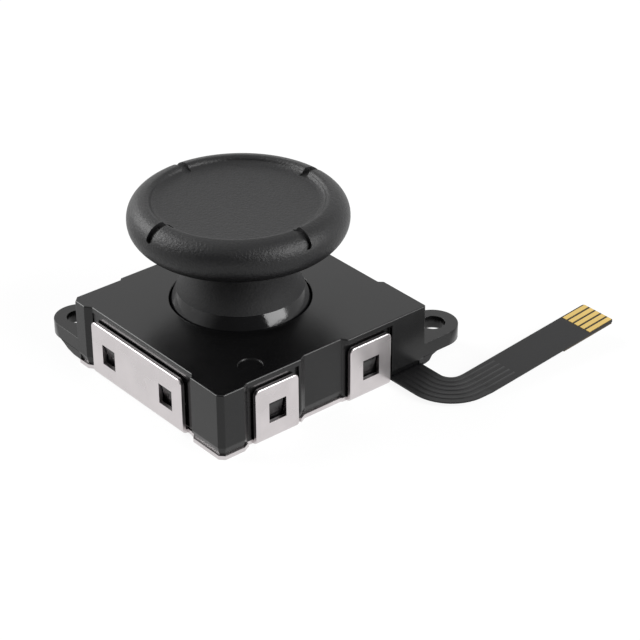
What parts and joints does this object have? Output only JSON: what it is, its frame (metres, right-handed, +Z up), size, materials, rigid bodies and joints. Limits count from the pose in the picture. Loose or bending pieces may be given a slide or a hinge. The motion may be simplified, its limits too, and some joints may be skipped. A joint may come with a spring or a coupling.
{
  "type": "controller analog stick",
  "caption": "Low-profile analog stick module with a rubber thumb cap that tilts two ways and presses down, with fixing ears and a flex circuit tail.",
  "frame": {"origin": "on the stick's axis at the underside of the base plate", "axes": "+Z up along the stick at rest, +X along the side that the flex tail leaves under, towards the tail's end, +Y away from the tail's side"},
  "size_m": [0.0314, 0.0266, 0.013],
  "materials": {
    "black_plastic": "satin",
    "tab_steel": "satin",
    "flex_film": "satin",
    "gold_contacts": "polished",
    "stiffener_film": "matte",
    "carbon_ink": "matte",
    "spring_steel": "polished",
    "cover_film": "clear",
    "frame_plastic": "satin",
    "rocker_plastic": "satin",
    "bush_plastic": "satin",
    "gloss_black": "gloss",
    "cap_rubber": "matte",
    "slider_plastic": "satin",
    "contact_bronze": "polished"
  },
  "bodies": {
    "base": {"housing": "black_plastic", "base_plate": "tab_steel", "flex_circuit": "flex_film", "contact_fingers": "gold_contacts", "tail_stiffener": "stiffener_film", "carbon_tracks_x": "carbon_ink", "carbon_tracks_y": "carbon_ink", "click_dome": "spring_steel", "dome_film": "cover_film", "gimbal_frame": "frame_plastic"},
    "rocker_x": {"lower_rocker": "rocker_plastic"},
    "bush": {"pivot_bush": "bush_plastic", "centring_foot": "bush_plastic", "centring_spring": "spring_steel"},
    "stick": {"stick_core": "gloss_black", "thumb_cap": "cap_rubber"},
    "rocker_y": {"upper_rocker": "rocker_plastic"},
    "carrier_x": {"x_slider": "slider_plastic", "x_wiper": "contact_bronze"},
    "carrier_y": {"y_slider": "slider_plastic", "y_wiper": "contact_bronze"}
  },
  "joints": [
    {"name": "tilt_x", "type": "hinge", "parent": "base", "child": "rocker_x", "pos_m": [0, 0, 0.00324], "axis": [0, 1, 0], "range_deg": [-15, 15], "stiffness_Nm_per_rad": 0.012},
    {"name": "tilt_y", "type": "hinge", "parent": "rocker_x", "child": "bush", "pos_m": [0, 0, 0.00324], "axis": [1, 0, 0], "range_deg": [-15, 15], "stiffness_Nm_per_rad": 0.012},
    {"name": "press", "type": "slide", "parent": "bush", "child": "stick", "axis": [0, 0, -1], "range_m": [0, 0.0002], "stiffness_N_per_m": 2000, "springref_m": -0.0002, "deforming": ["click_dome", "dome_film"]},
    {"name": "arch_turn", "type": "hinge", "parent": "base", "child": "rocker_y", "pos_m": [0, 0, 0.00324], "axis": [1, 0, 0], "range_deg": [-15, 15]},
    {"name": "carrier_x_slide", "type": "slide", "parent": "base", "child": "carrier_x", "axis": [1, 0, 0], "range_m": [-0.00058, 0.00058]},
    {"name": "carrier_y_slide", "type": "slide", "parent": "base", "child": "carrier_y", "axis": [0, 1, 0], "range_m": [-0.00058, 0.00058]}
  ],
  "couplings": [
    {"joint": "arch_turn", "follows": "tilt_y", "ratio": 1},
    {"joint": "carrier_x_slide", "follows": "tilt_x", "m_per_rad": -0.00214},
    {"joint": "carrier_y_slide", "follows": "tilt_y", "m_per_rad": 0.00214}
  ]
}
